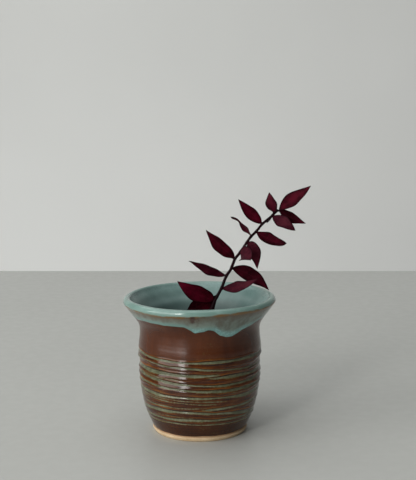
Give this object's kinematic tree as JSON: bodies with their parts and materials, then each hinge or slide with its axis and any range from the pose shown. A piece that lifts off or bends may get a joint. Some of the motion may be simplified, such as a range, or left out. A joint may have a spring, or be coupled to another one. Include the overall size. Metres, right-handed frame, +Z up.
{
  "type": "bud vase with sprig",
  "caption": "Hand-thrown stoneware bud vase with a flared turquoise rim, ribbed brown belly and bare foot, holding a lift-out burgundy leaf sprig.",
  "frame": {"origin": "centre of the foot, on the plane the vase stands on", "axes": "+Z up along the vase's axis; +X to the side the sprig leans to; -Y is the front"},
  "size_m": [0.1241, 0.0996, 0.1622],
  "materials": {
    "clay": "unglazed sandy stoneware, matt",
    "brown_glaze": "glossy iron brown, breaking lighter on ribs",
    "green_glaze": "glossy pale green pooled in the tooled lines",
    "turquoise_glaze": "satin gloss turquoise, thick at its lower edge",
    "stem": "thin near-black bark, slight sheen",
    "leaf": "dried burgundy leaf, satin, darker at the edges"
  },
  "bodies": {
    "vase": {"clay_body": "clay", "brown_glaze": "brown_glaze", "green_glaze_line_01": "green_glaze", "green_glaze_line_02": "green_glaze", "green_glaze_line_03": "green_glaze", "green_glaze_line_04": "green_glaze", "green_glaze_line_05": "green_glaze", "green_glaze_line_06": "green_glaze", "green_glaze_line_07": "green_glaze", "green_glaze_line_08": "green_glaze", "green_glaze_line_09": "green_glaze", "green_glaze_line_10": "green_glaze", "green_glaze_line_11": "green_glaze", "turquoise_glaze": "turquoise_glaze"},
    "sprig": {"stem": "stem", "leaf_drooping": "leaf", "leaf_end": "leaf", "leaf_in_mouth": "leaf", "leaf_left_broad": "leaf", "leaf_left_high": "leaf", "leaf_left_hooked": "leaf", "leaf_left_twisted": "leaf", "leaf_low_left": "leaf", "leaf_low_right": "leaf", "leaf_on_lip": "leaf", "leaf_right_behind": "leaf", "leaf_right_front": "leaf", "leaf_right_rolled": "leaf", "leaf_short": "leaf", "leaf_top_small": "leaf", "broken_leaf_stalk": "stem"}
  },
  "joints": [
    {"name": "sprig_lift", "type": "slide", "parent": "vase", "child": "sprig", "axis": [0, 0, 1], "range_m": [0, 0.1]}
  ]
}
